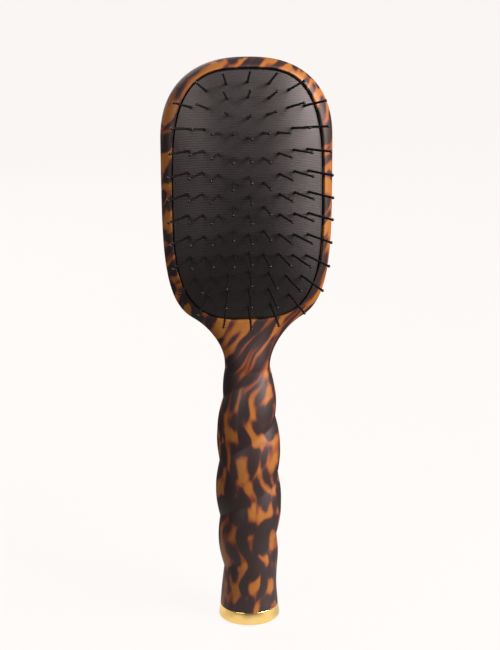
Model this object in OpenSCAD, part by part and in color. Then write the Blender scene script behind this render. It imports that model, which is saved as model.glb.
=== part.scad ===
// Cushioned paddle hairbrush with a spiral-grooved handle that stands on a metal end cap.
// Millimetres. +Z runs up the brush from the foot of the cap, and the pins face -Y.

/* [Head] */
// Height of the whole brush, standing on its cap
brush_height = 250; // [247:0.5:253]
// Width of the head
head_width = 72.4; // [71:0.1:75]
// Height at which the head is widest
head_wide_z = 214.5; // [213:0.5:216]
// Height at which the lower end of the head's oval would close
head_low_z = 136; // [134.5:0.5:137]
// How far the rim's crest stands in front of the parting plane
rim_rise = 6; // [5.5:0.1:7]
// How far the back stands behind the parting plane
back_rise = 9; // [8:0.5:11]
// Wall thickness of the two shells
wall = 2.2; // [1.8:0.1:2.4]

/* [Cushion] */
// Width of the opening in the rim
pad_width = 63.8; // [62:0.1:64]
// Length of the opening in the rim
pad_length = 107.3; // [105.5:0.1:108]
// Height of the middle of the opening
pad_z = 192.4; // [192:0.1:192.8]
// Rise of the dome above its edge
dome_rise = 9; // [7:0.5:11]
// Thickness of the rubber
rubber = 1.5; // [1.3:0.1:1.7]

/* [Pins] */
// Length of a pin in front of the rubber
pin_length = 17.5; // [14:0.5:20]
// Diameter of a pin's shaft at the rubber
pin_d = 1.1; // [0.9:0.05:1.2]
// Diameter of the ball on its tip
ball_d = 1.3; // [1.1:0.1:1.8]
// Sideways lean of the outermost columns, in degrees
side_lean = 30; // [26:1:33]
// Lean of the end pins towards the ends of the head, in degrees
end_lean = 20.5; // [16:0.5:23]

/* [Handle] */
// Width of the neck at its narrowest
neck_width = 20; // [19:0.5:21]
// Width of the handle at its widest
grip_width = 29.2; // [28:0.2:30]
// Depth of the spiral groove
groove_depth = 1.5; // [0:0.1:2]
// Drop of the groove in one turn
groove_pitch = 26.8; // [26:0.1:27.5]

/* [Cap] */
// Height of the end cap
cap_height = 5.9; // [5:0.1:8]
// Diameter of the cap where it stands
foot_d = 27.2; // [26.5:0.1:29]
// Diameter of the cap and the handle where they meet
cap_top_d = 25.8; // [25.5:0.1:26.2]

/* [Hidden] */

// --- Head outline: two half ovals that meet where the head is widest, closed by the neck ---
upper_power = 2.4;      // fullness of the upper half oval
lower_power = 4.4;      // fullness of the lower half oval
shoulder_turn = 66;     // where the oval ends and the neck begins, in degrees below the widest point
neck_z = 116;           // height of the narrowest place
shoulder_power = 2.6;   // hollowness of the curve from the head into the neck

// --- Grid of the shells: columns run round the head, and those of the neck go on down the handle ---
fibres = 16;            // strips across the front or the back of the handle
loop_columns = 42;      // strips round the head from one shoulder to the other
columns = fibres + loop_columns;
rim_rows = 6;           // strips from the opening to the parting line
neck_rows = 7;          // strips from the shoulders to the narrowest place
grip_rows = 38;         // strips from there to the end cap
last_row = rim_rows + neck_rows + grip_rows;

// --- Rim section, as shares of the way from the opening to the outline ---
crest_share = 0.12;     // the crest
seat_share = 0.42;      // the seat of the cushion's flange, and the inner edge of the parting face
edge_drop = 0.3;        // how far the opening's edge lies behind the crest
lip_back = 3.2;         // front face of the flange, in front of the parting plane
neck_front = 6.5;       // front of the neck at the shoulders
neck_back = 8.2;        // back of the neck at the shoulders

// --- Cushion and ring ---
pad_power = 3.2;        // fullness of the opening's oval
dome_power = 2.2;       // flatness of the dome's crown
dome_edge = 4.4;        // front of the dome's edge, in front of the parting plane
side_gap = 0.7;         // gap between the rubber and the opening
ring_depth = 2.3;       // depth of the retaining ring
ring_bite = 2.2;        // how far the ring reaches inside the opening

// --- Pins: the upright columns as [x, top, bottom, count] from the cushion's middle ---
PIN_COLUMNS = [[0, 42.2, -46.9, 12], [6.3, 27.8, -23.3, 6], [13, 27.8, -23.3, 7],
    [19.4, 29.4, -24.2, 7], [25.4, 29.4, -24.8, 7]];
// and the pins of the curved rows at both ends, as [x, height]
END_PINS = [[0, 48.2], [8.8, 47.5], [17, 44.8], [8.6, 41.7], [16.7, 37.8], [23.3, 38.1], [8.2, 35.2],
    [8.4, -31.7], [15.8, -33.2], [22.6, -33.8], [8.6, -39], [17.2, -41.7], [9.3, -45.9]];
column_bow = 0.045;     // how much of its x a column loses towards its ends
column_half = 26;       // half height of the side columns
pattern_z = 192;        // height from which the pins are measured
outer_column = 25.4;    // the outermost column
side_power = 1.3;       // how late the lean to the sides sets in
end_row = 47;           // the end rows, for the lean
lean_power = 2;         // how late the lean towards the ends sets in
collar_d = 1.3;         // collar in front of the rubber
flange_d = 2.4;         // flange behind the rubber
flange_gap = 0.45;      // gap between the flange and the rubber, which slopes across the pin
pin_gap = 0.25;         // gap between a pin and the rubber
// Zones from the crown outwards, with the share of the way to the pattern's border where each ends
ZONES = [["crown", 0.38], ["inner", 0.557], ["middle", 0.674], ["outer", 0.785], ["edge", 0.84], ["border", 2]];
pattern_half = [31.75, 54.5];   // half width and half height of the border
pattern_power = 2.7;    // fullness of the border's oval

// --- Handle: half widths at a few heights, as shares of the widest ---
GRIP = [[cap_height, cap_top_d / grip_width], [17, 0.84], [33, 0.91], [53, 0.985], [80, 0.96], [101, 0.86],
    [neck_z, neck_width / grip_width]];
neck_flatness = 0.1;    // how much flatter than wide the neck is
groove_top = 118;       // height at which the groove starts, on the right of the neck
groove_swing = 4;       // how far the groove swings off an even spiral at the sides
groove_end = 1260;      // turn at which it ends, in degrees
groove_reach = 12;      // height over which the lobe beside a groove rounds off
groove_lead = 120;      // turn by which it fades in ahead of its top, in degrees
groove_grow = 330;      // turn over which it grows to its full depth
groove_fade = 70;       // turn over which it fades out past its end

// --- Pegs between the shells, and posts that hold the ring ---
PEG_Z = [32, 62, 92];   // heights of the pegs in the handle
peg_r = 1.25;
peg_clearance = 0.05;
boss_r = 2.8;
peg_reach = 3;
post_r = 1.4;
post_count = 8;

cap_metal = 1;          // thickness of the end cap's metal
round_steps = 48;       // steps of the round parts when drawn

function mix(a, b, t) = a + (b - a) * t;
function ease(t) = let (s = min(max(t, 0), 1)) s * s * (3 - 2 * s);
function oval(share, power) = pow(max(0, 1 - pow(abs(share), power)), 1 / power);

// Smooth curve through the stations of a table of [height, value], in rising height
function slope(table, i) = let (a = table[max(i - 1, 0)], b = table[min(i + 1, len(table) - 1)])
    (b[1] - a[1]) / (b[0] - a[0]);
function span(table, z, i = 0) = i >= len(table) - 2 || z < table[i + 1][0] ? i : span(table, z, i + 1);
function curve(table, z) =
    let (i = span(table, z), a = table[i], b = table[i + 1], h = b[0] - a[0],
        t = min(max((z - a[0]) / h, 0), 1))
    (2 * t ^ 3 - 3 * t ^ 2 + 1) * a[1] + (t ^ 3 - 2 * t ^ 2 + t) * h * slope(table, i)
    + (3 * t ^ 2 - 2 * t ^ 3) * b[1] + (t ^ 3 - t ^ 2) * h * slope(table, i + 1);

// The head's outline as [x, z]: by turn from the widest point, and by x below the shoulders
function signed_power(v, p) = sign(v) * pow(abs(v), p);
function oval_point(turn) =
    let (up = sin(turn) >= 0, power = up ? upper_power : lower_power,
        reach = up ? brush_height - head_wide_z : head_wide_z - head_low_z)
    [head_width / 2 * signed_power(cos(turn), 2 / power),
        head_wide_z + reach * signed_power(sin(turn), 2 / power)];
shoulder = oval_point(-shoulder_turn);
function low_point(x) = [x, head_wide_z - (head_wide_z - head_low_z) * oval(2 * x / head_width, lower_power)];
function fibre_turn(j) = 180 * j / fibres;
function outline(j) = j <= fibres ? low_point(-shoulder[0] * cos(fibre_turn(j)))
    : oval_point(mix(-shoulder_turn, 180 + shoulder_turn, (j - fibres) / loop_columns));

// Distance from the cushion's middle to the opening, in the direction of a column
function opening(dir) = 1 / pow(pow(abs(dir[0]) / (pad_width / 2), pad_power)
    + pow(abs(dir[1]) / (pad_length / 2), pad_power), 1 / pad_power);
function ray(j) = outline(j) - [0, pad_z];
function at(j, share) = let (v = ray(j), far = norm(v), dir = v / far) dir * mix(opening(dir), far, share);
function shoulder_height(j) = j < fibres ? sin(fibre_turn(j)) : 0;

// Handle sections: height, half width and half depth, with the groove taken off
function depth_share(z) = 1 - neck_flatness * (z - cap_height) / (neck_z - cap_height);
function groove_z(turn) = groove_top - groove_pitch * turn / 360
    + groove_swing * sin(turn / groove_end * 175) * cos(turn);
function groove_strength(turn) = ease((turn + groove_lead) / groove_grow)
    * ease((groove_end - turn) / groove_fade + 1);
function groove_cut(turn, z) = let (away = min(1, abs(z - groove_z(turn)) / groove_reach))
    groove_strength(turn) * (1 - sin(90 * away));
function groove(side, z) = max([for (k = [0:4]) groove_cut(360 * k - side, z)]);
function grip_half(z) = curve(GRIP, z) * grip_width / 2;
function grip_outer(side, z) =
    let (r = grip_half(z), cut = 1 - groove_depth * groove(side, z) / r)
    [r * cos(side) * cut, r * depth_share(z) * sin(side) * cut, z];
function grip_inner(side, z) =
    let (r = grip_half(z) - wall - groove_depth * ease((z - cap_height - 8) / 8) * ease((neck_z + 8 - z) / 12))
    [r * cos(side), r * depth_share(z) * sin(side), z];

// Neck sections between the shoulders (t = 0) and the narrowest place (t = 1), inset by the wall
function neck_point(j, t, height, inset, facing) =
    let (z = mix(shoulder[1], neck_z, t), sink = (outline(j)[1] - shoulder[1]) * (1 - t),
        half = mix(neck_width / 2, shoulder[0], pow(1 - t, shoulder_power)) - inset,
        grip_depth = neck_width / 2 * (1 - neck_flatness),
        depth = mix(height, grip_depth, ease(t)) - inset,
        groove_side = facing < 0 ? 180 + fibre_turn(j) : 180 - fibre_turn(j),
        cut = inset > 0 ? 1 : 1 - groove_depth * groove(groove_side, z) / half * t)
    [-half * cos(fibre_turn(j)) * cut, facing * depth * sin(fibre_turn(j)) * cut, z + sink];

function neck_share(i) = (i - rim_rows) / neck_rows;
function grip_z(i) = mix(neck_z, cap_height, (i - rim_rows - neck_rows) / grip_rows);

// Rows from the opening (0) over the crest (1) to the parting line (rim_rows), for the front shell
function front_outer(i, j) =
    i == 0 ? let (p = at(j, 0)) [p[0], edge_drop - rim_rise, p[1] + pad_z]
    : i == 1 ? let (p = at(j, crest_share / 2)) [p[0], edge_drop * 0.25 - rim_rise, p[1] + pad_z]
    : let (turn = 90 * (i - 2) / (rim_rows - 2), end = neck_front * shoulder_height(j),
        p = at(j, mix(crest_share, 1, sin(turn))))
    [p[0], -mix(end, rim_rise, cos(turn)), p[1] + pad_z];
function front_inner(i, j) =
    i == 0 ? let (p = at(j, 0)) [p[0], -lip_back, p[1] + pad_z]
    : let (t = (i - 1) / (rim_rows - 1), deep = shoulder_height(j),
        p = at(j, mix(seat_share, mix(seat_share + 0.03, 1 - wall / 8, deep), t)),
        end = max(0, neck_front - wall) * deep)
    [p[0], -mix(lip_back, end, t), p[1] + pad_z];

// Rows from the middle of the back (0) to the parting line (rim_rows), for the rear shell
BACK_SHARES = [0.15, 0.45, 0.7, 0.86, 0.94, 0.985, 1];
function back_point(i, j, inset) =
    let (share = BACK_SHARES[i], end = (neck_back - inset) * shoulder_height(j),
        p = at(j, inset > 0 ? mix(seat_share + 0.03, 1 - wall / 8, shoulder_height(j)) : 1) * share,
        crown = back_rise - inset - 0.9 * share ^ 2)
    [p[0], mix(end, crown, sqrt(max(0, 1 - share ^ 9))), p[1] + pad_z];

function front_point(i, j, inner) =
    i <= rim_rows ? (inner ? front_inner(i, j) : front_outer(i, j))
    : i <= rim_rows + neck_rows ? neck_point(j, neck_share(i), neck_front, inner ? wall : 0, -1)
    : inner ? grip_inner(180 + fibre_turn(j), grip_z(i)) : grip_outer(180 + fibre_turn(j), grip_z(i));
function rear_point(i, j, inner) =
    i <= rim_rows ? back_point(i, j, inner ? wall : 0)
    : i <= rim_rows + neck_rows ? neck_point(j, neck_share(i), neck_back, inner ? wall : 0, 1)
    : inner ? grip_inner(180 - fibre_turn(j), grip_z(i)) : grip_outer(180 - fibre_turn(j), grip_z(i));

// Faces of a sheet with the grid above, and of the strips that join its two skins
sheet_size = (rim_rows + 1) * columns + (neck_rows + grip_rows) * (fibres + 1);
function spot(i, j) = i <= rim_rows ? i * columns + j % columns
    : (rim_rows + 1) * columns + (i - rim_rows - 1) * (fibres + 1) + j;
QUADS = concat(
    [for (i = [0:rim_rows - 1], j = [0:columns - 1])
        [spot(i, j), spot(i, j + 1), spot(i + 1, j + 1), spot(i + 1, j)]],
    [for (i = [rim_rows:last_row - 1], j = [0:fibres - 1])
        [spot(i, j), spot(i, j + 1), spot(i + 1, j + 1), spot(i + 1, j)]]);
INNER_LOOP = [for (j = [0:columns - 1]) spot(0, j)];
OUTER_LOOP = concat(
    [for (j = [fibres:columns]) spot(rim_rows, j)],
    [for (i = [rim_rows + 1:last_row]) spot(i, 0)],
    [for (j = [1:fibres]) spot(last_row, j)],
    [for (i = [last_row - 1:-1:rim_rows + 1]) spot(i, fibres)]);
function flip(faces) = [for (f = faces) [for (k = [len(f) - 1:-1:0]) f[k]]];
function shifted(faces) = [for (f = faces) [for (k = f) k + sheet_size]];
function strip(ring) = [for (k = [0:len(ring) - 1]) let (a = ring[k], b = ring[(k + 1) % len(ring)])
    [a, b, b + sheet_size, a + sheet_size]];
function skins(pierced) = concat(QUADS, flip(shifted(QUADS)), strip(OUTER_LOOP),
    pierced ? flip(strip(INNER_LOOP)) : concat(flip([INNER_LOOP]), shifted([INNER_LOOP])));
function part_plane(p, i, j) =
    (i == rim_rows && j >= fibres) || (i >= rim_rows && (j == 0 || j == fibres)) ? [p[0], 0, p[2]] : p;
function front_grid(inner) = concat(
    [for (i = [0:rim_rows], j = [0:columns - 1]) part_plane(front_point(i, j, inner), i, j)],
    [for (i = [rim_rows + 1:last_row], j = [0:fibres]) part_plane(front_point(i, j, inner), i, j)]);
function rear_grid(inner) = concat(
    [for (i = [0:rim_rows], j = [0:columns - 1]) part_plane(rear_point(i, j, inner), i, j)],
    [for (i = [rim_rows + 1:last_row], j = [0:fibres]) part_plane(rear_point(i, j, inner), i, j)]);

module along_y(z, r, from, to) {
    translate([0, from, z]) rotate([-90, 0, 0]) cylinder(r = r, h = to - from, $fn = round_steps);
}

module front_shell() {
    color([0.55, 0.33, 0.16]) difference() {
        union() {
            polyhedron(concat(front_grid(false), front_grid(true)), skins(true), convexity = 8);
            for (z = PEG_Z) along_y(z, boss_r, -grip_half(z) * depth_share(z) + wall, 0);
        }
        for (z = PEG_Z) along_y(z, peg_r + peg_clearance, -peg_reach - 0.5, 1);
    }
}

// Posts stand on the back wall under the ring's middle line
function post_column(k) = fibres + loop_columns * (k + 0.5) / post_count;
function post_at(k) = let (v = ray(post_column(k)), dir = v / norm(v)) dir * (opening(dir) - 0.6);
function post_end(k) = let (share = norm(post_at(k)) / norm(ray(post_column(k))))
    (back_rise - 0.9 * share ^ 2) * sqrt(1 - share ^ 9) - wall / 2;

module rear_shell() {
    color([0.55, 0.33, 0.16]) union() {
        polyhedron(concat(rear_grid(false), rear_grid(true)), flip(skins(false)), convexity = 8);
        for (z = PEG_Z) {
            along_y(z, boss_r, 0, grip_half(z) * depth_share(z) - wall);
            along_y(z, peg_r, -peg_reach, 1);
        }
        for (k = [0:post_count - 1]) translate([post_at(k)[0], 0, 0])
            along_y(post_at(k)[1] + pad_z, post_r, ring_depth - lip_back + rubber, post_end(k));
    }
}

module end_cap() {
    edge = 1.2;
    lip = 0.5;
    color([0.83, 0.66, 0.3]) rotate_extrude($fn = round_steps) polygon([
        [0, 0], [foot_d / 2 - edge, 0],
        for (a = [-75:15:0]) [foot_d / 2 - edge + edge * cos(a), edge + edge * sin(a)],
        [cap_top_d / 2, cap_height - lip], [cap_top_d / 2 - lip, cap_height],
        [cap_top_d / 2 - cap_metal, cap_height], [cap_top_d / 2 - cap_metal, cap_metal], [0, cap_metal]]);
}

module cap_plug() {
    fit = 0.1;
    spigot_h = 6;
    chamfer = 1;
    spigot_r = cap_top_d / 2 - wall - 0.8;
    color([0.12, 0.11, 0.1]) union() {
        translate([0, 0, cap_metal])
            cylinder(r = cap_top_d / 2 - cap_metal - fit, h = cap_height - cap_metal, $fn = round_steps);
        translate([0, 0, cap_height]) cylinder(r = spigot_r, h = spigot_h, $fn = round_steps);
        translate([0, 0, cap_height + spigot_h])
            cylinder(r1 = spigot_r, r2 = spigot_r - chamfer, h = chamfer, $fn = round_steps);
    }
}

// Rings of the cushion as [share of the opening, lift off the dome's surface or y of its own]
cushion_turns = 56;
wall_share = 1 - side_gap / (pad_width / 2);
inner_share = wall_share - rubber / (pad_width / 2);
function dome_y(share) = -dome_edge - dome_rise * (1 - pow(min(share, 1), dome_power));
RUBBER_RINGS = concat(
    [for (s = [0.05, 0.25, 0.45, 0.62, 0.76, 0.87, 0.94]) [s, dome_y(s)]],
    [[wall_share - 0.024, dome_y(wall_share) + 0.1], [wall_share - 0.008, dome_y(wall_share) + 0.7],
    [wall_share, -dome_edge + 1.1], [wall_share, -lip_back], [1, -lip_back]],
    [[1, rubber - lip_back], [inner_share, rubber - lip_back], [inner_share, -dome_edge + 1.3]],
    [for (s = [0.9, 0.84, 0.74, 0.6, 0.44, 0.25, 0.05]) [s, dome_y(s) + rubber * (1 + 0.14 * s ^ 3)]]);
function oval_dir(k) = let (a = 360 * k / cushion_turns)
    [pad_width / 2 * signed_power(cos(a), 2 / pad_power), pad_length / 2 * signed_power(sin(a), 2 / pad_power)];
flange_reach = 1.05;    // how far the flange reaches outside the opening
function rubber_point(ring, k) =
    let (v = oval_dir(k), out = ring[0] == 1 ? flange_reach / norm(v) : 0, p = v * (ring[0] + out))
    [p[0], ring[1], p[1] + pad_z];

module rubber_skin() {
    rings = len(RUBBER_RINGS);
    n = cushion_turns;
    polyhedron([for (ring = RUBBER_RINGS, k = [0:n - 1]) rubber_point(ring, k)],
        concat([for (r = [0:rings - 2], k = [0:n - 1]) let (m = (k + 1) % n)
            [r * n + k, r * n + m, (r + 1) * n + m, (r + 1) * n + k]],
            [[for (k = [n - 1:-1:0]) k], [for (k = [0:n - 1]) (rings - 1) * n + k]]), convexity = 6);
}

module cushion_membrane() {
    color([0.13, 0.13, 0.14]) difference() {
        rubber_skin();
        for (p = PINS) place_pin(p) cylinder(d = pin_d + 2 * pin_gap, h = 5, center = true, $fn = 8);
    }
}

module retaining_ring() {
    front = rubber - lip_back;
    color([0.2, 0.2, 0.2]) translate([0, front + ring_depth, pad_z]) rotate([90, 0, 0])
        linear_extrude(ring_depth) difference() {
            polygon([for (j = [0:columns - 1]) at(j, seat_share * 0.8)]);
            polygon([for (j = [0:columns - 1]) let (v = ray(j) / norm(ray(j))) v * (opening(v) - ring_bite)]);
        }
}

// Pins as [x, height over the pattern's middle], left and right alike
function sides(x) = x == 0 ? [0] : [-x, x];
PINS = concat(
    [for (c = PIN_COLUMNS, k = [0:c[3] - 1], x = sides(c[0])) let (height = mix(c[1], c[2], k / (c[3] - 1)))
        [x * (1 - column_bow * (height / column_half) ^ 2), height]],
    [for (e = END_PINS, x = sides(e[0])) [x, e[1]]]);
function pad_share(p) = pow(pow(abs(2 * p[0] / pad_width), pad_power)
    + pow(abs(2 * (p[1] + pattern_z - pad_z) / pad_length), pad_power), 1 / pad_power);
function border_share(p) = pow(pow(abs(p[0] / pattern_half[0]), pattern_power)
    + pow(abs((p[1] - 0.5) / pattern_half[1]), pattern_power), 1 / pattern_power);
function zone(p, k = 0) = border_share(p) < ZONES[k][1] ? ZONES[k][0] : zone(p, k + 1);
function sector(p) = let (across = abs(p[0] / pattern_half[0]), along = p[1] / pattern_half[1])
    abs(along) >= across ? (along > 0 ? "top" : "bottom") : (p[0] < 0 ? "left" : "right");

module place_pin(p) {
    translate([p[0], dome_y(pad_share(p)), p[1] + pattern_z])
        rotate([0, 0, side_lean * signed_power(p[0] / outer_column, side_power)])
        rotate([-end_lean * signed_power(p[1] / end_row, lean_power), 0, 0])
        rotate([90, 0, 0]) children();
}

module pin() {
    back = -rubber - flange_gap;
    shaft_end = pin_length - ball_d / 2;
    neck_r = pin_d / 2;
    tip_r = pin_d * 0.4;
    union() {
        rotate_extrude($fn = round_steps) polygon([
            [0, back - 0.6], [flange_d / 2, back - 0.6], [flange_d / 2, back], [neck_r, back],
            [neck_r, pin_gap * 0.6], [collar_d / 2, pin_gap * 0.6], [collar_d / 2, 0.7], [neck_r, 1.1],
            [tip_r, shaft_end], [0, shaft_end]]);
        translate([0, 0, shaft_end]) sphere(d = ball_d, $fn = round_steps);
    }
}

module pins(of_zone, of_sector = "") {
    color([0.07, 0.07, 0.08])
        for (p = PINS) if (zone(p) == of_zone && (of_sector == "" || sector(p) == of_sector)) place_pin(p) pin();
}

module crown_pins() pins("crown");
module inner_pins_top() pins("inner", "top");
module inner_pins_bottom() pins("inner", "bottom");
module inner_pins_left() pins("inner", "left");
module inner_pins_right() pins("inner", "right");
module middle_pins_top() pins("middle", "top");
module middle_pins_bottom() pins("middle", "bottom");
module middle_pins_left() pins("middle", "left");
module middle_pins_right() pins("middle", "right");
module outer_pins_top() pins("outer", "top");
module outer_pins_bottom() pins("outer", "bottom");
module outer_pins_left() pins("outer", "left");
module outer_pins_right() pins("outer", "right");
module edge_pins_top() pins("edge", "top");
module edge_pins_left() pins("edge", "left");
module edge_pins_right() pins("edge", "right");
module border_pins_top() pins("border", "top");
module border_pins_bottom() pins("border", "bottom");
module border_pins_left() pins("border", "left");
module border_pins_right() pins("border", "right");

front_shell();
rear_shell();
end_cap();
cap_plug();
cushion_membrane();
retaining_ring();
crown_pins();
inner_pins_top();
inner_pins_bottom();
inner_pins_left();
inner_pins_right();
middle_pins_top();
middle_pins_bottom();
middle_pins_left();
middle_pins_right();
outer_pins_top();
outer_pins_bottom();
outer_pins_left();
outer_pins_right();
edge_pins_top();
edge_pins_left();
edge_pins_right();
border_pins_top();
border_pins_bottom();
border_pins_left();
border_pins_right();
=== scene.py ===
import math

import bpy
import numpy as np
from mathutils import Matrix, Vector


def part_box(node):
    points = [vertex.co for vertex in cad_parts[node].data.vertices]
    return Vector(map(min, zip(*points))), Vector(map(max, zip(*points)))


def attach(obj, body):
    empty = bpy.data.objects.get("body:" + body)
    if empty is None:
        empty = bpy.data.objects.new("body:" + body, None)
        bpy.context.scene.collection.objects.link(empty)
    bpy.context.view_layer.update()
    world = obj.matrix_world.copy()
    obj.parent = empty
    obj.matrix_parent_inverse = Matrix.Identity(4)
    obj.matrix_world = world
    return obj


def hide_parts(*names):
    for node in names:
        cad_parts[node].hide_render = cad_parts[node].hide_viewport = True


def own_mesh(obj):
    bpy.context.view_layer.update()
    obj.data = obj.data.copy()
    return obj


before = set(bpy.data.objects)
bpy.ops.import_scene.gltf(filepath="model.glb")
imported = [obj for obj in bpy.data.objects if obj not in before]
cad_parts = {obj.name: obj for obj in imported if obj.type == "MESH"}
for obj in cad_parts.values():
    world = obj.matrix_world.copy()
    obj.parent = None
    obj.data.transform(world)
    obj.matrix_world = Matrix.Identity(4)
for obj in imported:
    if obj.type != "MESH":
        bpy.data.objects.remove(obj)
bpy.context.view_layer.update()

MM = 0.001


# ---------------------------------------------------------------- sizes, in millimetres
def box_mm(node):
    low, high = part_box(node)
    return np.array(low) / MM, np.array(high) / MM


SHELL_HIGH = box_mm("front_shell")[1]
CAP_HIGH = box_mm("end_cap")[1]
PAD_LOW, PAD_HIGH = box_mm("cushion_membrane")

# Shells: x is to the right, z up, and the front faces -y, with the parting plane at y = 0
HEIGHT = SHELL_HIGH[2]
HEAD_HALF = SHELL_HIGH[0]
HEAD_WIDE_Z = 214.5         # height at which the head is widest
HEAD_LOW_Z = 136.0          # where the lower end of the head's oval would close
UPPER_POWER, LOWER_POWER = 2.4, 4.4     # fullness of the oval's two halves
SHOULDER_TURN = math.radians(66)        # turn below the level at which the neck leaves the oval
NECK_Z = 116.0              # the narrowest place
NECK_HALF = 10.0            # half its width
SHOULDER_POWER = 2.6        # how quickly the shoulders draw in to it
RIM_RISE = 6.0              # depth of the head in front of the parting plane
BACK_RISE = 9.0             # depth of the head behind it
BACK_BULGE = 0.9            # how far the middle of the back stands out past its edge
BACK_POWER = 9              # how tightly that edge is rounded
WALL = 2.2                  # of the shells

FLANGE_REACH = 1.05         # how far the rubber's flange reaches outside the opening
PAD_HALF = np.array([PAD_HIGH[0], (PAD_HIGH[2] - PAD_LOW[2]) / 2]) - FLANGE_REACH
PAD_Z = (PAD_HIGH[2] + PAD_LOW[2]) / 2
PAD_POWER = 3.2             # fullness of the opening's oval
DOME_POWER = 2.2            # flatness of the dome's crown
DOME_EDGE = 4.9             # front of the dome's edge, where the rubber swells against the rim
DOME_RISE = -PAD_LOW[1] - DOME_EDGE
RUBBER = 1.5                # thickness of the rubber
LIP_BACK = 3.2              # front face of the rubber's flange
RIB_PITCH = 0.7             # of the rubber's fine ribs
SIDE_GAP = 0.4              # gap between the rubber and the opening

# Rim section: the first three are shares of the way from the opening to the outline
CREST_SHARE = 0.12          # the crest
SEAT_SHARE = 0.42           # the seat of the rubber's flange
FACE_STEP = 0.03            # how far past the seat the parting face starts
RIM_WIDTH = 4.5             # about what lies between the opening and the outline beside the pad
NECK_RIM_WIDTH = 8.0        # and over the neck
EDGE_DROP = 0.3             # how far the opening's edge lies behind the rim's crest
EDGE_ROUND = 0.35           # rounding of the opening's edge
RIM_POWER = 1.5             # fullness of the rim's slope: 1 is a flat bevel, 2 a quarter round
NECK_FRONT, NECK_BACK = 6.5, 8.2        # depth of the neck at the shoulders, in front and behind
RELAX_REACH = 26.0          # radius round each shoulder in which the skin is evened out
RELAX_DEPTH = 4.0           # how far from the parting plane that is centred
RELAX_CORE = 1.4            # over 1, so that the middle of it is evened out in full
RELAX_ROUNDS = 400
RELAX_STEP = 0.5            # share of the way to the neighbours' mean in one round

CAP_TOP = CAP_HIGH[2]
FOOT_R = CAP_HIGH[0]
CAP_TOP_R = 12.9            # outer radius of the cap's top
CAP_METAL = 1.0             # wall of the cap
CAP_HUB_R = 0.5             # flat disc that closes it in the middle
GRIP_HALF = 14.6            # the half width that the stations of the grip are shares of
# Stations of the grip, as (height, half width)
GRIP = [(CAP_TOP, CAP_TOP_R), (17, 0.84 * GRIP_HALF), (33, 0.91 * GRIP_HALF), (53, 0.985 * GRIP_HALF),
        (80, 0.96 * GRIP_HALF), (101, 0.86 * GRIP_HALF), (NECK_Z, NECK_HALF)]
NECK_FLATNESS = 0.1         # share of its depth that the grip has lost at the narrowest place
BORE_PLAIN = 8.0            # height over the cap in which the bore keeps its full width, for the plug
BORE_STEP = 8.0             # height over which it then narrows, to clear the groove
BORE_PAST = 8.0             # how far above the narrowest place it would be wide again
BORE_TAPER = 12.0           # height over which it widens to that
GROOVE_DEPTH = 1.5          # at its deepest
GROOVE_PITCH = 26.8         # drop in one turn
GROOVE_TOP = 118.0          # where the groove starts, on the right of the neck
GROOVE_SWING = 4.0          # how far it swings off an even spiral
GROOVE_SWING_ARC = 175.0    # part of a half wave, in degrees, over which that swing grows and dies down
GROOVE_END = 1260.0         # turn at which it ends, in degrees
GROOVE_REACH = 12.0         # height over which the lobe beside it rounds off
GROOVE_LEAD = 120.0         # turn by which it fades in ahead of its top
GROOVE_GROW = 330.0         # turn over which it grows to its full depth
GROOVE_FADE = 70.0          # turn over which it fades out past its end
GROOVE_TURNS = 5            # turns to look through, which is past its end

FIBRES, LOOP = 64, 176      # strips across the handle, and round the head between the shoulders
COLUMNS = FIBRES + LOOP
NECK_ROWS, GRIP_ROWS = 22, 150          # strips from the shoulders to the narrowest place, then to the cap
PAD_COLUMNS, CAP_COLUMNS = 192, 128     # strips round the cushion and the cap
SHELL_CREASE, PAD_CREASE, CAP_CREASE = 50, 60, 40       # degrees from which edges are shaded sharp


# ---------------------------------------------------------------- small helpers
def mix(a, b, t):
    return a + (b - a) * t


def ease(t):
    s = np.clip(t, 0, 1)
    return s * s * (3 - 2 * s)


def signed_power(v, p):
    return np.sign(v) * np.abs(v) ** p


def smooth_curve(table, z):
    """Hermite curve through the stations of a table of (height, value)."""
    zs, vs = np.array([r[0] for r in table], float), np.array([r[1] for r in table], float)
    left = np.maximum(np.arange(len(zs)) - 1, 0)
    right = np.minimum(np.arange(len(zs)) + 1, len(zs) - 1)
    slopes = (vs[right] - vs[left]) / (zs[right] - zs[left])
    i = np.clip(np.searchsorted(zs, z, side="right") - 1, 0, len(zs) - 2)
    h = zs[i + 1] - zs[i]
    t = np.clip((z - zs[i]) / h, 0, 1)
    return ((2 * t**3 - 3 * t**2 + 1) * vs[i] + (t**3 - 2 * t**2 + t) * h * slopes[i]
            + (3 * t**2 - 2 * t**3) * vs[i + 1] + (t**3 - t**2) * h * slopes[i + 1])


def points(x, y, z):
    x, y, z = np.broadcast_arrays(x, y, z)
    return np.stack([x, y, z], axis=-1)


def add_mesh(name, verts_mm, faces, crease):
    mesh = bpy.data.meshes.new(name)
    mesh.from_pydata((np.asarray(verts_mm) * MM).tolist(), [], faces)
    mesh.update()
    mesh.shade_smooth()
    mesh.set_sharp_from_angle(angle=math.radians(crease))
    piece = bpy.data.objects.new(name, mesh)
    bpy.context.scene.collection.objects.link(piece)
    return piece


# ---------------------------------------------------------------- outline and handle sections
def oval_point(turn):
    """Point of the head's oval, across and up, at a turn from the level line on the right."""
    up = np.sin(turn) >= 0
    power = np.where(up, UPPER_POWER, LOWER_POWER)
    reach = np.where(up, HEIGHT - HEAD_WIDE_Z, HEAD_WIDE_Z - HEAD_LOW_Z)
    return (HEAD_HALF * signed_power(np.cos(turn), 2 / power),
            HEAD_WIDE_Z + reach * signed_power(np.sin(turn), 2 / power))


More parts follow.
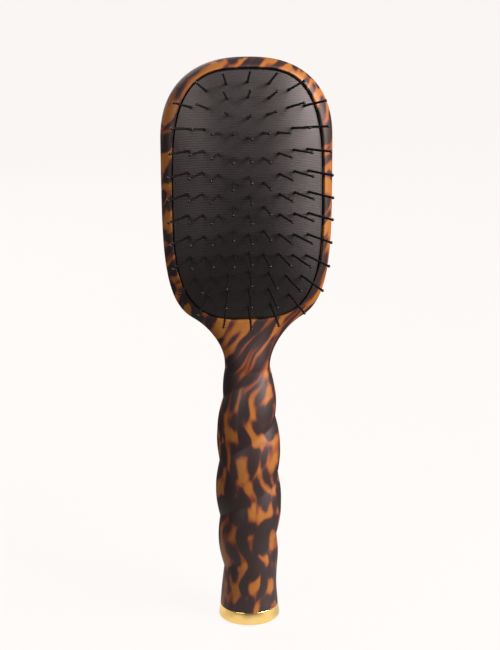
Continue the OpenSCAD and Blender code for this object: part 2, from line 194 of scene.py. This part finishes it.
SHOULDER_X, SHOULDER_Z = (float(v) for v in oval_point(-SHOULDER_TURN))
FIBRE_TURN = np.pi * np.arange(FIBRES + 1) / FIBRES


def outline():
    """The head's outline round the loop: the fibres of the neck first, then up the right and over."""
    low_x = -SHOULDER_X * np.cos(FIBRE_TURN)
    fall = (1 - np.abs(low_x / HEAD_HALF) ** LOWER_POWER) ** (1 / LOWER_POWER)
    low_z = HEAD_WIDE_Z - (HEAD_WIDE_Z - HEAD_LOW_Z) * fall
    turn = mix(-SHOULDER_TURN, np.pi + SHOULDER_TURN, np.arange(1, LOOP) / LOOP)
    high_x, high_z = oval_point(turn)
    return np.concatenate([low_x, high_x]), np.concatenate([low_z, high_z])


OUT_X, OUT_Z = outline()
RAY = np.stack([OUT_X, OUT_Z - PAD_Z], axis=1)
FAR = np.linalg.norm(RAY, axis=1)
DIR = RAY / FAR[:, None]

# Distance from the pad's middle to the opening's edge, in the direction of every column
NEAR = 1 / ((np.abs(DIR[:, 0]) / PAD_HALF[0]) ** PAD_POWER
            + (np.abs(DIR[:, 1]) / PAD_HALF[1]) ** PAD_POWER) ** (1 / PAD_POWER)
# Every column's share of the neck's depth at the shoulders, and where the parting face starts on it
SHOULDER_HEIGHT = np.concatenate([np.sin(FIBRE_TURN), np.zeros(LOOP - 1)])
FACE_SHARE = mix(SEAT_SHARE + FACE_STEP, 1 - WALL / NECK_RIM_WIDTH, SHOULDER_HEIGHT)


def depth_share(z):
    """Depth of the grip at a height, as a share of its width."""
    return 1 - NECK_FLATNESS * (z - CAP_TOP) / (NECK_Z - CAP_TOP)


def groove_cut(turn, z):
    """Depth of the groove at a turn in degrees and a height, as a share of its full depth."""
    swing = GROOVE_SWING * np.sin(np.radians(turn / GROOVE_END * GROOVE_SWING_ARC))
    swing = swing * np.cos(np.radians(turn))
    path = GROOVE_TOP - GROOVE_PITCH * turn / 360 + swing
    strength = ease((turn + GROOVE_LEAD) / GROOVE_GROW) * ease((GROOVE_END - turn) / GROOVE_FADE + 1)
    away = np.minimum(1, np.abs(z - path) / GROOVE_REACH)
    return strength * (1 - np.sin(np.pi / 2 * away))


def groove(side, z):
    return np.maximum.reduce([groove_cut(360 * k - side, z) for k in range(GROOVE_TURNS)])


def grip_outer(side_deg, z):
    r = smooth_curve(GRIP, z)
    cut = 1 - GROOVE_DEPTH * groove(side_deg, z) / r
    side = np.radians(side_deg)
    return points(r * np.cos(side) * cut, r * depth_share(z) * np.sin(side) * cut, z)


def grip_inner(side_deg, z):
    step = ease((z - CAP_TOP - BORE_PLAIN) / BORE_STEP)
    r = smooth_curve(GRIP, z) - WALL - GROOVE_DEPTH * step * ease((NECK_Z + BORE_PAST - z) / BORE_TAPER)
    side = np.radians(side_deg)
    return points(r * np.cos(side), r * depth_share(z) * np.sin(side), z)


def neck(t, height, inset, facing):
    """Sections from the shoulders (t = 0) to the narrowest place (t = 1)."""
    t = t[:, None]
    z = mix(SHOULDER_Z, NECK_Z, t)
    sink = (OUT_Z[:FIBRES + 1] - SHOULDER_Z) * (1 - t)
    half = mix(NECK_HALF, SHOULDER_X, (1 - t) ** SHOULDER_POWER) - inset
    depth = mix(height, NECK_HALF * (1 - NECK_FLATNESS), ease(t)) - inset
    side = np.degrees(np.pi - facing * FIBRE_TURN)
    cut = 1 if inset else 1 - GROOVE_DEPTH * groove(side, z) / half * t
    return points(-half * np.cos(FIBRE_TURN) * cut, facing * depth * np.sin(FIBRE_TURN) * cut, z + sink)


def grip(facing, inset):
    z = mix(NECK_Z, CAP_TOP, np.arange(1, GRIP_ROWS + 1) / GRIP_ROWS)[:, None]
    side = np.degrees(np.pi - facing * FIBRE_TURN)[None, :]
    return (grip_inner if inset else grip_outer)(side, z)


def on_ray(share):
    """Point at a share of the way from the opening to the outline, for every column."""
    reach = mix(NEAR, FAR, share)
    return reach * DIR[:, 0], reach * DIR[:, 1] + PAD_Z


# ---------------------------------------------------------------- rim and back of the head
def rim_outer():
    rows = []
    round_share = EDGE_ROUND / RIM_WIDTH
    for a in np.radians([0, 30, 60, 90]):
        x, z = on_ray(round_share * (1 - np.cos(a)))
        rows.append(points(x, EDGE_DROP - RIM_RISE + EDGE_ROUND * (1 - np.sin(a)), z))
    for s in (0.2, 0.4, 0.6, 0.8):
        x, z = on_ray(mix(round_share, CREST_SHARE, s))
        rows.append(points(x, EDGE_DROP * (1 - s) ** 2 - RIM_RISE, z))
    for a in np.radians(np.linspace(0, 90, 13)):
        x, z = on_ray(mix(CREST_SHARE, 1, np.sin(a) ** (2 / RIM_POWER)))
        rise = mix(NECK_FRONT * SHOULDER_HEIGHT, RIM_RISE, np.cos(a) ** (2 / RIM_POWER))
        rows.append(points(x, -rise, z))
    return np.array(rows)


def rim_inner(count):
    rows = []
    x, z = on_ray(0)
    rows.append(points(x, -LIP_BACK, z))
    end = (NECK_FRONT - WALL) * SHOULDER_HEIGHT
    for t in np.linspace(0, 1, count - 1):
        x, z = on_ray(mix(SEAT_SHARE, FACE_SHARE, t))
        rows.append(points(x, -mix(LIP_BACK, end, t), z))
    return np.array(rows)


# Rings of the back as shares of the way out from its middle, closer together where its edge is rounded
BACK_SHARES = np.concatenate([
    np.linspace(0.04, 0.8, 12), [0.86, 0.9, 0.93, 0.955, 0.973, 0.986, 0.994, 0.9985, 1]])


def back(inset):
    rows = []
    end = (NECK_BACK - inset) * SHOULDER_HEIGHT
    border = FACE_SHARE if inset else np.ones(COLUMNS)
    for share in BACK_SHARES:
        reach = mix(NEAR, FAR, border) * share
        crown = BACK_RISE - inset - BACK_BULGE * share**2
        y = mix(end, crown, math.sqrt(max(0.0, 1 - share**BACK_POWER)))
        rows.append(points(reach * DIR[:, 0], y, reach * DIR[:, 1] + PAD_Z))
    return np.array(rows)


# ---------------------------------------------------------------- two-skinned shells
def ids(i, j, head_rows):
    """Vertex in row i and column j: rows go round the head first, then only across the handle."""
    if i < head_rows:
        return i * COLUMNS + j % COLUMNS
    return head_rows * COLUMNS + (i - head_rows) * (FIBRES + 1) + j


def quads(head_rows, last_row):
    widths = [COLUMNS] * (head_rows - 1) + [FIBRES] * (last_row - head_rows + 1)
    return [[ids(a, b, head_rows) for a, b in ((i, j), (i, j + 1), (i + 1, j + 1), (i + 1, j))]
            for i, width in enumerate(widths) for j in range(width)]


def border_loop(head_rows, last_row):
    """Vertices along the parting line: over the head, down the handle, across its end and up again."""
    top = head_rows - 1
    return ([ids(top, j, head_rows) for j in range(FIBRES, COLUMNS + 1)]
            + [ids(i, 0, head_rows) for i in range(head_rows, last_row + 1)]
            + [ids(last_row, j, head_rows) for j in range(1, FIBRES + 1)]
            + [ids(i, FIBRES, head_rows) for i in range(last_row - 1, top, -1)])


def relax(verts, faces, fixed, facing):
    """Even out the surface near the shoulders, where the head's edge turns into the neck."""
    near = np.zeros(len(verts))
    for side in (-1, 1):
        centre = np.array([side * SHOULDER_X, facing * RELAX_DEPTH, SHOULDER_Z])
        away = np.linalg.norm(verts - centre, axis=1)
        near = np.maximum(near, ease(RELAX_CORE - RELAX_CORE * away / RELAX_REACH))
    near[list(fixed)] = 0
    quad = np.array(faces)
    edges = np.concatenate([quad[:, [0, 1]], quad[:, [1, 2]], quad[:, [2, 3]], quad[:, [3, 0]]])
    count = np.bincount(edges.ravel(), minlength=len(verts))[:, None]
    for _ in range(RELAX_ROUNDS):
        total = np.zeros_like(verts)
        np.add.at(total, edges[:, 0], verts[edges[:, 1]])
        np.add.at(total, edges[:, 1], verts[edges[:, 0]])
        verts += (total / count - verts) * RELAX_STEP * near[:, None]
    return verts


def shell(name, head_outer, head_inner, height, facing, pierced):
    """A closed shell of two skins, joined along the parting line, the handle's end and any opening."""
    head_rows = len(head_outer)
    last_row = head_rows - 1 + NECK_ROWS + GRIP_ROWS
    t = np.arange(1, NECK_ROWS + 1) / NECK_ROWS
    outer, inner = (
        np.concatenate([rows.reshape(-1, 3)
                        for rows in (head, neck(t, height, inset, facing), grip(facing, inset))])
        for head, inset in ((head_outer, 0), (head_inner, WALL)))
    faces = quads(head_rows, last_row)
    border = border_loop(head_rows, last_row)
    start = list(range(COLUMNS))
    across_end = {ids(last_row, j, head_rows) for j in range(1, FIBRES)}
    side = [k for k in border if k not in across_end]
    outer = relax(outer, faces, set(border) | (set(start) if pierced else set()), facing)
    outer[side, 1] = 0
    inner[side, 1] = 0
    size = len(outer)
    strip = [[a, b, b + size, a + size] for a, b in zip(border, border[1:] + border[:1])]
    hole = [[b, a, a + size, b + size] for a, b in zip(start, start[1:] + start[:1])]
    caps = hole if pierced else [start[::-1], [k + size for k in start]]
    all_faces = faces + [[k + size for k in face[::-1]] for face in faces] + strip + caps
    # The faces so far point outwards on the rear shell, so the front shell's are turned round
    if facing < 0:
        all_faces = [face[::-1] for face in all_faces]
    return add_mesh(name, np.concatenate([outer, inner]), all_faces, SHELL_CREASE)


def make_shells():
    front_outer = rim_outer()
    front = shell("shell_front", front_outer, rim_inner(len(front_outer)), NECK_FRONT, -1, True)
    rear = shell("shell_rear", back(0), back(WALL), NECK_BACK, 1, False)
    return front, rear


# ---------------------------------------------------------------- cushion
def ring_faces(count, steps):
    """Faces of a body of rings, closed flat at both ends."""
    faces = [[r * steps + k, (r + 1) * steps + k, (r + 1) * steps + after, r * steps + after]
             for r in range(count - 1) for k in range(steps) for after in [(k + 1) % steps]]
    return faces + [list(range(steps)), [(count - 1) * steps + k for k in reversed(range(steps))]]


def dome_y(share):
    return -DOME_EDGE - DOME_RISE * (1 - np.minimum(share, 1) ** DOME_POWER)


def make_cushion():
    wall = 1 - SIDE_GAP / PAD_HALF[0]
    inner = wall - RUBBER / PAD_HALF[0]
    roll = wall - 0.010         # where the dome starts to roll over into its side
    roll_drop = 0.4             # how far behind the dome's edge the roll ends
    foot_height = 0.3           # an extra ring just in front of the flange
    hollow_drop = 1.5           # how far behind the dome's edge the inside starts to rise
    corner_fill = 0.14          # how much thicker the rubber grows towards there, as a share
    outer_shares = np.concatenate([np.linspace(0.02, 0.9, 30), [0.93, 0.955]])
    inner_shares = np.linspace(0.91, 0.02, 16)
    flange = 2                  # stands for the flange's edge, which is not at one share all round
    rings = [(s, dome_y(s)) for s in outer_shares]
    for a in np.radians(np.linspace(8, 90, 9)):
        rings.append((mix(roll, wall, np.sin(a)), mix(-DOME_EDGE + roll_drop, dome_y(roll), np.cos(a))))
    rings += [(wall, -LIP_BACK - foot_height), (wall, -LIP_BACK), (flange, -LIP_BACK),
              (flange, RUBBER - LIP_BACK), (inner, RUBBER - LIP_BACK), (inner, -DOME_EDGE + hollow_drop)]
    rings += [(s, dome_y(s) + RUBBER * (1 + corner_fill * s**3)) for s in inner_shares]
    angle = 2 * np.pi * np.arange(PAD_COLUMNS) / PAD_COLUMNS
    ray = np.stack([PAD_HALF[0] * signed_power(np.cos(angle), 2 / PAD_POWER),
                    PAD_HALF[1] * signed_power(np.sin(angle), 2 / PAD_POWER)], axis=1)
    length = np.linalg.norm(ray, axis=1)
    verts = []
    for share, y in rings:
        reach = 1 + FLANGE_REACH / length if share == flange else np.full(PAD_COLUMNS, share)
        verts.append(points(ray[:, 0] * reach, y, ray[:, 1] * reach + PAD_Z))
    return add_mesh("cushion", np.concatenate(verts), ring_faces(len(rings), PAD_COLUMNS), PAD_CREASE)


# ---------------------------------------------------------------- turned parts
def lathe(name, profile, steps, crease):
    """Turn a profile of (radius, height), closed flat at both ends."""
    angle = 2 * np.pi * np.arange(steps) / steps
    verts = [points(r * np.cos(angle), r * np.sin(angle), z) for r, z in profile]
    faces = [face[::-1] for face in ring_faces(len(profile), steps)]
    return add_mesh(name, np.concatenate(verts), faces, crease)


def arc(centre, radius, start, end, steps):
    return [(centre[0] + radius * math.cos(a), centre[1] + radius * math.sin(a))
            for a in np.radians(np.linspace(start, end, steps))]


def make_cap():
    foot_round, lip_round = 1.2, 0.25
    profile = [(CAP_HUB_R, 0)]
    profile += arc((FOOT_R - foot_round, foot_round), foot_round, -90, 3, 10)
    profile += arc((CAP_TOP_R - lip_round, CAP_TOP - lip_round), lip_round, 5, 90, 5)
    profile += arc((CAP_TOP_R - CAP_METAL + lip_round, CAP_TOP - lip_round), lip_round, 90, 180, 5)
    profile += [(CAP_TOP_R - CAP_METAL, CAP_METAL), (CAP_HUB_R, CAP_METAL)]
    return lathe("cap", profile, CAP_COLUMNS, CAP_CREASE)


# ---------------------------------------------------------------- materials
def material(name, **inputs):
    made = bpy.data.materials.new(name)
    made.use_nodes = True
    shader = made.node_tree.nodes["Principled BSDF"]
    for key, value in inputs.items():
        shader.inputs[key.replace("_", " ")].default_value = value
    return made, made.node_tree, shader


def put(tree, kind, sockets=(), **settings):
    """Add a node: settings are its own, sockets are (name or number, value or output) pairs."""
    node = tree.nodes.new(kind)
    for key, value in settings.items():
        setattr(node, key, value)
    for key, value in sockets:
        if isinstance(value, bpy.types.NodeSocket):
            tree.links.new(value, node.inputs[key])
        else:
            node.inputs[key].default_value = value
    return node


def maths(tree, operation, *values):
    return put(tree, "ShaderNodeMath", tuple(enumerate(values)), operation=operation).outputs[0]


def noise(tree, vector, scale, detail=3.0, rough=0.5, distortion=0.0):
    return put(tree, "ShaderNodeTexNoise", (("Vector", vector), ("Scale", scale), ("Detail", detail),
                                            ("Roughness", rough), ("Distortion", distortion)))


def mm_position(tree):
    """Place on the object, in millimetres."""
    place = put(tree, "ShaderNodeTexCoord").outputs["Object"]
    return put(tree, "ShaderNodeVectorMath", ((0, place), ("Scale", 1 / MM)), operation="SCALE").outputs[0]


def ramp(tree, factor, stops):
    node = put(tree, "ShaderNodeValToRGB", ((0, factor),))
    elements = node.color_ramp.elements
    while len(elements) < len(stops):
        elements.new(0.5)       # anywhere: the places are set below
    for element, (position, colour) in zip(elements, stops):
        element.position = position
        element.color = (*colour, 1)
    return node.outputs[0]


def tint(tree, shader, factor, stops, socket="Base Color"):
    tree.links.new(ramp(tree, factor, stops), shader.inputs[socket])


def bump(tree, shader, height, strength, distance_mm):
    node = put(tree, "ShaderNodeBump", (("Height", height), ("Strength", strength),
                                        ("Distance", distance_mm * MM)))
    tree.links.new(node.outputs[0], shader.inputs["Normal"])


def fade(tree, value, start, end, low, high):
    """Smooth change from one level to another while a value goes from start to end."""
    return put(tree, "ShaderNodeMapRange", (("Value", value), ("From Min", start), ("From Max", end),
                                            ("To Min", low), ("To Max", high)),
               interpolation_type="SMOOTHSTEP").outputs[0]


def past(tree, value, limit):
    """How far a value lies past a limit, or 0."""
    return maths(tree, "MAXIMUM", maths(tree, "SUBTRACT", value, limit), 0.0)


def tortoiseshell():
    """Amber plastic with dark streaks that wander, stand upright on the handle and lean on the head."""
    drift_scale, drift_mm = 0.05, 12    # how finely, and how far, the streaks wander
    head_z = 100.0                      # height above which they lean over and grow longer
    lean_full, lean_mm = 0.9, 30.0      # slope of the lean, and the height in which it sets in
    head_saving = 0.5                   # share of the height above that which the pattern leaves out
    across_scale, deep_scale, along_scale = 0.19, 0.16, 0.08    # fineness of the streaks, per millimetre
    patch_part, drop_part, feather_part = 0.75, 0.42, 0.07      # what each pattern adds to the shade
    painted_light_x, painted_light_gain = 20.0, 0.004   # painted light: more amber to the right of this, per millimetre, for the head's lit right side
    painted_shade_z, painted_shade_gain = 60.0, 0.0005    # painted shade: more dark below this, per millimetre, for the light falling off towards the foot
    made, tree, shader = material("tortoiseshell", Roughness=0.5, Specular_IOR_Level=0.4,
                                  Specular_Tint=(1, 0.86, 0.82, 1))
    place = mm_position(tree)
    drift = noise(tree, place, drift_scale, 1.5)
    drift = put(tree, "ShaderNodeVectorMath", ((0, drift.outputs["Color"]), (1, (0.5, 0.5, 0.5))),
                operation="SUBTRACT").outputs[0]
    drift = put(tree, "ShaderNodeVectorMath", ((0, drift), ("Scale", drift_mm)),
                operation="SCALE").outputs[0]
    warped = put(tree, "ShaderNodeVectorMath", ((0, place), (1, drift)), operation="ADD").outputs[0]
    x, y, z = put(tree, "ShaderNodeSeparateXYZ", ((0, warped),)).outputs
    above = past(tree, z, head_z)
    lean = maths(tree, "DIVIDE", maths(tree, "MULTIPLY", maths(tree, "MULTIPLY", above, above), lean_full),
                 maths(tree, "ADD", above, lean_mm))
    across = maths(tree, "SUBTRACT", x, lean)
    along = maths(tree, "SUBTRACT", z, maths(tree, "MULTIPLY", above, head_saving))
    streak = put(tree, "ShaderNodeCombineXYZ", (
        (0, maths(tree, "MULTIPLY", across, across_scale)),
        (1, maths(tree, "MULTIPLY", y, deep_scale)),
        (2, maths(tree, "MULTIPLY", along, along_scale)))).outputs[0]
    patches = noise(tree, streak, 1.0, 1.2, 0.4, 0.3).outputs["Fac"]
    drops = put(tree, "ShaderNodeTexVoronoi", (("Vector", streak), ("Scale", 1.15), ("Smoothness", 0.35)),
                feature="SMOOTH_F1").outputs["Distance"]
    feather = noise(tree, streak, 5.0, 3.0, 0.6, 0.3).outputs["Fac"]
    # Dark where the sum is low
    shade = maths(tree, "ADD", maths(tree, "MULTIPLY", patches, patch_part),
                  maths(tree, "MULTIPLY", drops, drop_part))
    feather = maths(tree, "MULTIPLY", maths(tree, "SUBTRACT", feather, 0.5), feather_part)
    shade = maths(tree, "ADD", shade, feather)
    # Painted light: the shade turns more amber towards the head's right, the side the lights face
    right = past(tree, x, painted_light_x)
    low = maths(tree, "MAXIMUM", maths(tree, "SUBTRACT", painted_shade_z, z), 0.0)
    shade = maths(tree, "ADD", shade, maths(tree, "MULTIPLY", right, painted_light_gain))
    # Painted shade: darker towards the foot, where less light reaches
    shade = maths(tree, "SUBTRACT", shade, maths(tree, "MULTIPLY", low, painted_shade_gain))
    tint(tree, shader, shade, [
        (0.52, (0.016, 0.009, 0.009)), (0.585, (0.027, 0.012, 0.011)), (0.615, (0.10, 0.021, 0.012)),
        (0.645, (0.165, 0.046, 0.011)), (0.71, (0.235, 0.083, 0.014))])
    bump(tree, shader, noise(tree, place, 0.8, 2.0).outputs["Fac"], 0.06, 0.1)
    return made


def black_rubber():
    """Fine ribs across, with a weave of the same pitch and a grain, as relief in the material."""
    rib_part = 0.4              # height of ribs and weave beside the grain's
    made, tree, shader = material("ribbed rubber", Roughness=0.45, Specular_IOR_Level=0.56,
                                  Specular_Tint=(1, 0.88, 0.88, 1))
    place = mm_position(tree)
    x, _, z = put(tree, "ShaderNodeSeparateXYZ", ((0, place),)).outputs
    turn = 2 * math.pi / RIB_PITCH
    rib = maths(tree, "SINE", maths(tree, "MULTIPLY", z, turn))
    weave = maths(tree, "MULTIPLY", rib, maths(tree, "SINE", maths(tree, "MULTIPLY", x, turn)))
    grain = noise(tree, place, 2.0, 4.0, 0.6).outputs["Fac"]
    cloud = noise(tree, place, 0.06, 3.0).outputs["Fac"]
    tint(tree, shader, cloud, [(0.3, (0.005, 0.004, 0.004)), (0.7, (0.008, 0.006, 0.0065))])
    ribs = maths(tree, "MULTIPLY", maths(tree, "ADD", rib, weave), rib_part)
    bump(tree, shader, maths(tree, "ADD", ribs, grain), 0.5, 0.06)
    return made


def grained_black(name, finish, scale, detail, stops, strength, depth_mm):
    """Moulded black plastic with a faint grain in its colour and its surface."""
    made, tree, shader = material(name, **finish)
    grain = noise(tree, mm_position(tree), scale, detail).outputs["Fac"]
    tint(tree, shader, grain, stops)
    bump(tree, shader, grain, strength, depth_mm)
    return made


def pin_plastic():
    return grained_black("black nylon", {"Roughness": 0.22, "Specular_IOR_Level": 0.22}, 1.2, 3.0,
                         [(0.35, (0.004, 0.004, 0.004)), (0.65, (0.007, 0.006, 0.006))], 0.1, 0.05)


def plain_black():
    return grained_black("moulded black", {"Roughness": 0.6}, 1.5, 4.0,
                         [(0.3, (0.022, 0.022, 0.023)), (0.7, (0.034, 0.033, 0.034))], 0.2, 0.1)


def polished_gold():
    made, tree, shader = material("polished gold", Metallic=1.0, Roughness=0.16)
    wear = noise(tree, mm_position(tree), 0.25, 4.0).outputs["Fac"]
    tint(tree, shader, wear, [(0.3, (0.93, 0.62, 0.20)), (0.7, (0.97, 0.69, 0.26))])
    tint(tree, shader, wear, [(0.3, (0.12, 0.12, 0.12)), (0.7, (0.2, 0.2, 0.2))], "Roughness")
    return made


def pale_floor():
    """Pale paper that glows for the camera and, near the brush, in reflections, but lights nothing."""
    seen_glow = 0.98                    # strength for the camera
    near_mm, near_glow = 30.0, 0.95     # strength in reflections up to this far from the middle,
    far_mm, far_glow = 150.0, 0.04      # and from this far on
    made, tree, shader = material("pale floor", Roughness=0.9, Specular_IOR_Level=0.1)
    place = mm_position(tree)
    grain = noise(tree, place, 0.01, 2.0).outputs["Fac"]
    tint(tree, shader, grain, [(0.3, (0.019, 0.019, 0.018)), (0.7, (0.021, 0.020, 0.020))])
    path = put(tree, "ShaderNodeLightPath")
    away = put(tree, "ShaderNodeVectorMath", ((0, place),), operation="LENGTH").outputs["Value"]
    glow = fade(tree, away, near_mm, far_mm, near_glow, far_glow)
    # Uneven, so that polished metal on it shows soft bands
    bands = fade(tree, noise(tree, place, 0.03, 0.0).outputs["Fac"], 0.38, 0.58, 0.72, 1.0)
    seen = maths(tree, "MULTIPLY", path.outputs["Is Camera Ray"], seen_glow)
    mirrored = maths(tree, "MULTIPLY", maths(tree, "MULTIPLY", path.outputs["Is Glossy Ray"], glow), bands)
    shader.inputs["Emission Color"].default_value = (0.965, 0.93, 0.915, 1)
    tree.links.new(maths(tree, "ADD", seen, mirrored), shader.inputs["Emission Strength"])
    return made


# ---------------------------------------------------------------- stage, in metres and watts
FLOOR_SIZE = 30
SKY_SEEN, SKY_LIGHT = 0.79, 0.15        # strength added for the camera, and strength for everything else
HEAD_PLACE = (0, 0, 0.2)                # the lights aim at it
LIGHT_COLOUR = (1.0, 0.96, 0.94)
LIGHTS = [                              # name, place, power, side of the square panel
    ("key", (0.75, -0.65, 0.95), 19, 0.5),
    ("side box", (0.85, -0.4, 0.5), 21, 0.6),
    ("fill", (-0.7, -0.85, 0.6), 8.5, 0.6),
    ("back fill", (-0.4, 0.9, 0.6), 7, 0.8)]
CAMERA_TARGET = (0.0010, 0, 0.135)
CAMERA_DISTANCE = 0.717
CAMERA_AZIMUTH, CAMERA_HEIGHT, CAMERA_ROLL = (math.radians(a) for a in (-4, 15, -0.29))
CAMERA_LENS, CAMERA_SENSOR = 92, 36     # in millimetres


def make_stage():
    bpy.ops.mesh.primitive_plane_add(size=FLOOR_SIZE)
    floor = bpy.context.object
    floor.name = "floor"
    floor.data.materials.append(pale_floor())
    scene = bpy.context.scene
    scene.view_settings.view_transform = "Standard"
    world = bpy.data.worlds.new("studio")
    world.use_nodes = True
    # The camera sees it as pale as the floor; it lights the brush only faintly
    tree = world.node_tree
    backdrop = tree.nodes["Background"]
    backdrop.inputs["Color"].default_value = (1.0, 0.97, 0.955, 1)
    seen = put(tree, "ShaderNodeLightPath").outputs["Is Camera Ray"]
    level = maths(tree, "ADD", maths(tree, "MULTIPLY", seen, SKY_SEEN), SKY_LIGHT)
    tree.links.new(level, backdrop.inputs["Strength"])
    scene.world = world


def aim(thing, target):
    thing.rotation_euler = (Vector(target) - thing.location).to_track_quat("-Z", "Y").to_euler()


def make_lights():
    for name, place, power, side in LIGHTS:
        light = bpy.data.lights.new(name, "AREA")
        light.color = LIGHT_COLOUR
        light.shape = "SQUARE"
        light.energy, light.size = power, side
        lamp = bpy.data.objects.new(name, light)
        lamp.location = place
        bpy.context.scene.collection.objects.link(lamp)
        aim(lamp, HEAD_PLACE)


def make_camera():
    target = Vector(CAMERA_TARGET)
    level = math.cos(CAMERA_HEIGHT)
    back_way = Vector((math.sin(CAMERA_AZIMUTH) * level, -math.cos(CAMERA_AZIMUTH) * level,
                       math.sin(CAMERA_HEIGHT)))
    data = bpy.data.cameras.new("camera")
    data.lens, data.sensor_width = CAMERA_LENS, CAMERA_SENSOR
    camera = bpy.data.objects.new("camera", data)
    camera.location = target + back_way * CAMERA_DISTANCE
    bpy.context.scene.collection.objects.link(camera)
    aim(camera, target)
    camera.rotation_euler.rotate_axis("Z", CAMERA_ROLL)
    bpy.context.scene.camera = camera


# ---------------------------------------------------------------- the brush
def dress(piece, finish, slot=None):
    """Give a piece its material, and attach a new piece to the fixed body."""
    piece.data.materials.clear()
    piece.data.materials.append(finish)
    if slot:
        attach(piece, "root")


make_camera()
shell_finish = tortoiseshell()
front_piece, rear_piece = make_shells()
dress(front_piece, shell_finish, "shell_plastic")
dress(rear_piece, shell_finish, "shell_plastic")
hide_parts("front_shell")
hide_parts("rear_shell")

cushion = make_cushion()
dress(cushion, black_rubber(), "cushion_rubber")
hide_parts("cushion_membrane")
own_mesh(cushion)

cap = make_cap()
dress(cap, polished_gold(), "cap_metal")
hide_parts("end_cap")

pin_finish, inner_finish = pin_plastic(), plain_black()
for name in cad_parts:
    if name.endswith("_pins") or "_pins_" in name:
        dress(bpy.data.objects[name], pin_finish)
    elif name in ("retaining_ring", "cap_plug"):
        dress(bpy.data.objects[name], inner_finish)

make_stage()
make_lights()
